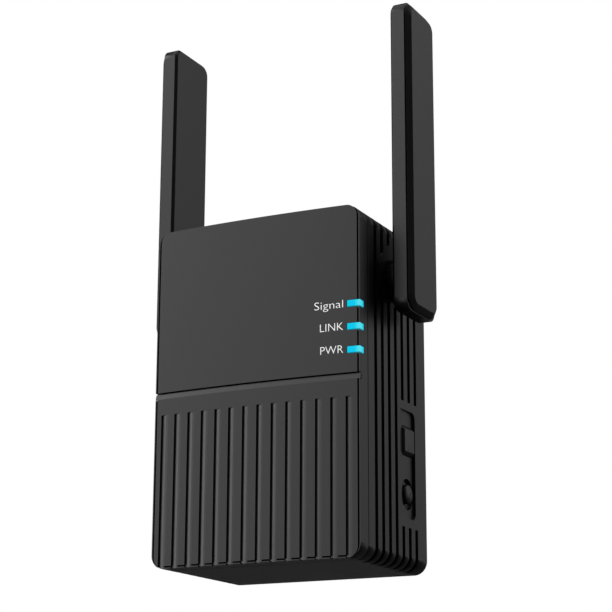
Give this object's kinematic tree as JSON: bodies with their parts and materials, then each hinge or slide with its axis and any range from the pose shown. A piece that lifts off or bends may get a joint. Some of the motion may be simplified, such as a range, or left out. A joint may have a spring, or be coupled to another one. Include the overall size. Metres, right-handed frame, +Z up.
{
  "type": "wifi range extender",
  "caption": "Plug-in wifi range extender: upright box with a fluted lower front, light guides, side buttons, a network socket and fold-down paddle antennas.",
  "frame": {"origin": "centre of the mains plug, between the two blades, on the flat back face that meets the wall", "axes": "+Z up along the antennas as shown, +Y out of the back face into the wall along the blades, +X to the right seen from the front"},
  "size_m": [0.0862, 0.0633, 0.1666],
  "materials": {
    "casing": "satin charcoal-black moulded plastic with a very fine even grain",
    "front_plates": "satin charcoal-black moulded plastic, smooth above and fluted below",
    "black_screws": "black oxide steel",
    "light_guide": "cyan light guide, glossy",
    "buttons": "satin black plastic",
    "white_nylon": "plain nylon",
    "switch_body": "black moulded plastic",
    "green_board": "green solder mask",
    "zinc_screws": "zinc plated steel",
    "chip_resin": "black moulding resin",
    "thermal_pad": "grey-blue silicone",
    "heat_sink": "plain extruded aluminium",
    "tinned_steel": "tinned sheet steel",
    "led_package": "clear package over yellow phosphor",
    "gold_plate": "gold plated",
    "brown_board": "bare paper laminate",
    "winding_tape": "yellow polyester tape over a black bobbin",
    "capacitor_sleeve": "dark blue sleeve",
    "fuse_body": "brown moulded body",
    "ferrite": "sintered ferrite with a shrink sleeve",
    "insulating_film": "pale translucent film",
    "nickel_brass": "nickel plated brass",
    "cable_jacket": "black jacket",
    "antenna_shell": "satin charcoal-black moulded plastic",
    "antenna_cover": "satin charcoal-black moulded plastic"
  },
  "bodies": {
    "body": {"housing": "casing", "front_frame": "casing", "front_panel": "front_plates", "front_grille": "front_plates", "housing_screws": "black_screws", "signal_light_guide": "light_guide", "link_light_guide": "light_guide", "power_light_guide": "light_guide", "power_switch": "switch_body", "pairing_switch": "switch_body", "main_board": "green_board", "main_board_screws": "zinc_screws", "processor": "chip_resin", "thermal_pad": "thermal_pad", "heat_sink": "heat_sink", "radio_chip": "chip_resin", "radio_shield": "tinned_steel", "memory_chip": "chip_resin", "network_transformer": "chip_resin", "status_leds": "led_package", "ethernet_jack": "switch_body", "ethernet_contacts": "gold_plate", "power_board": "brown_board", "power_board_screws": "zinc_screws", "power_transformer": "winding_tape", "input_capacitors": "capacitor_sleeve", "output_capacitor": "capacitor_sleeve", "bridge_rectifier": "chip_resin", "mains_fuse": "fuse_body", "input_choke": "ferrite", "insulation_sheet": "insulating_film", "board_link": "switch_body", "plug_block": "switch_body", "left_blade": "nickel_brass", "right_blade": "nickel_brass", "left_antenna_lead": "cable_jacket", "right_antenna_lead": "cable_jacket", "left_lead_plug": "gold_plate", "right_lead_plug": "gold_plate"},
    "left_antenna": {"left_antenna_shell": "antenna_shell", "left_antenna_cover": "antenna_cover", "left_antenna_element": "brown_board", "left_element_cable": "cable_jacket", "left_pivot_hub": "antenna_shell", "left_pivot_washer": "tinned_steel", "left_pivot_clip": "tinned_steel"},
    "right_antenna": {"right_antenna_shell": "antenna_shell", "right_antenna_cover": "antenna_cover", "right_antenna_element": "brown_board", "right_element_cable": "cable_jacket", "right_pivot_hub": "antenna_shell", "right_pivot_washer": "tinned_steel", "right_pivot_clip": "tinned_steel"},
    "power_key": {"power_button": "buttons", "power_plunger": "white_nylon"},
    "pairing_key": {"pairing_button": "buttons", "pairing_plunger": "white_nylon"}
  },
  "joints": [
    {"name": "left_antenna_hinge", "type": "hinge", "parent": "body", "child": "left_antenna", "pos_m": [-0.037, -0.0216, 0.028], "axis": [1, 0, 0], "range_deg": [0, 180]},
    {"name": "right_antenna_hinge", "type": "hinge", "parent": "body", "child": "right_antenna", "pos_m": [0.037, -0.0216, 0.028], "axis": [1, 0, 0], "range_deg": [0, 180]},
    {"name": "power_button_press", "type": "slide", "parent": "body", "child": "power_key", "axis": [-1, 0, 0], "range_m": [0, 0.0012], "stiffness_N_per_m": 400, "springref_m": -0.0005},
    {"name": "pairing_button_press", "type": "slide", "parent": "body", "child": "pairing_key", "axis": [-1, 0, 0], "range_m": [0, 0.0006], "stiffness_N_per_m": 500, "springref_m": -0.0005}
  ]
}
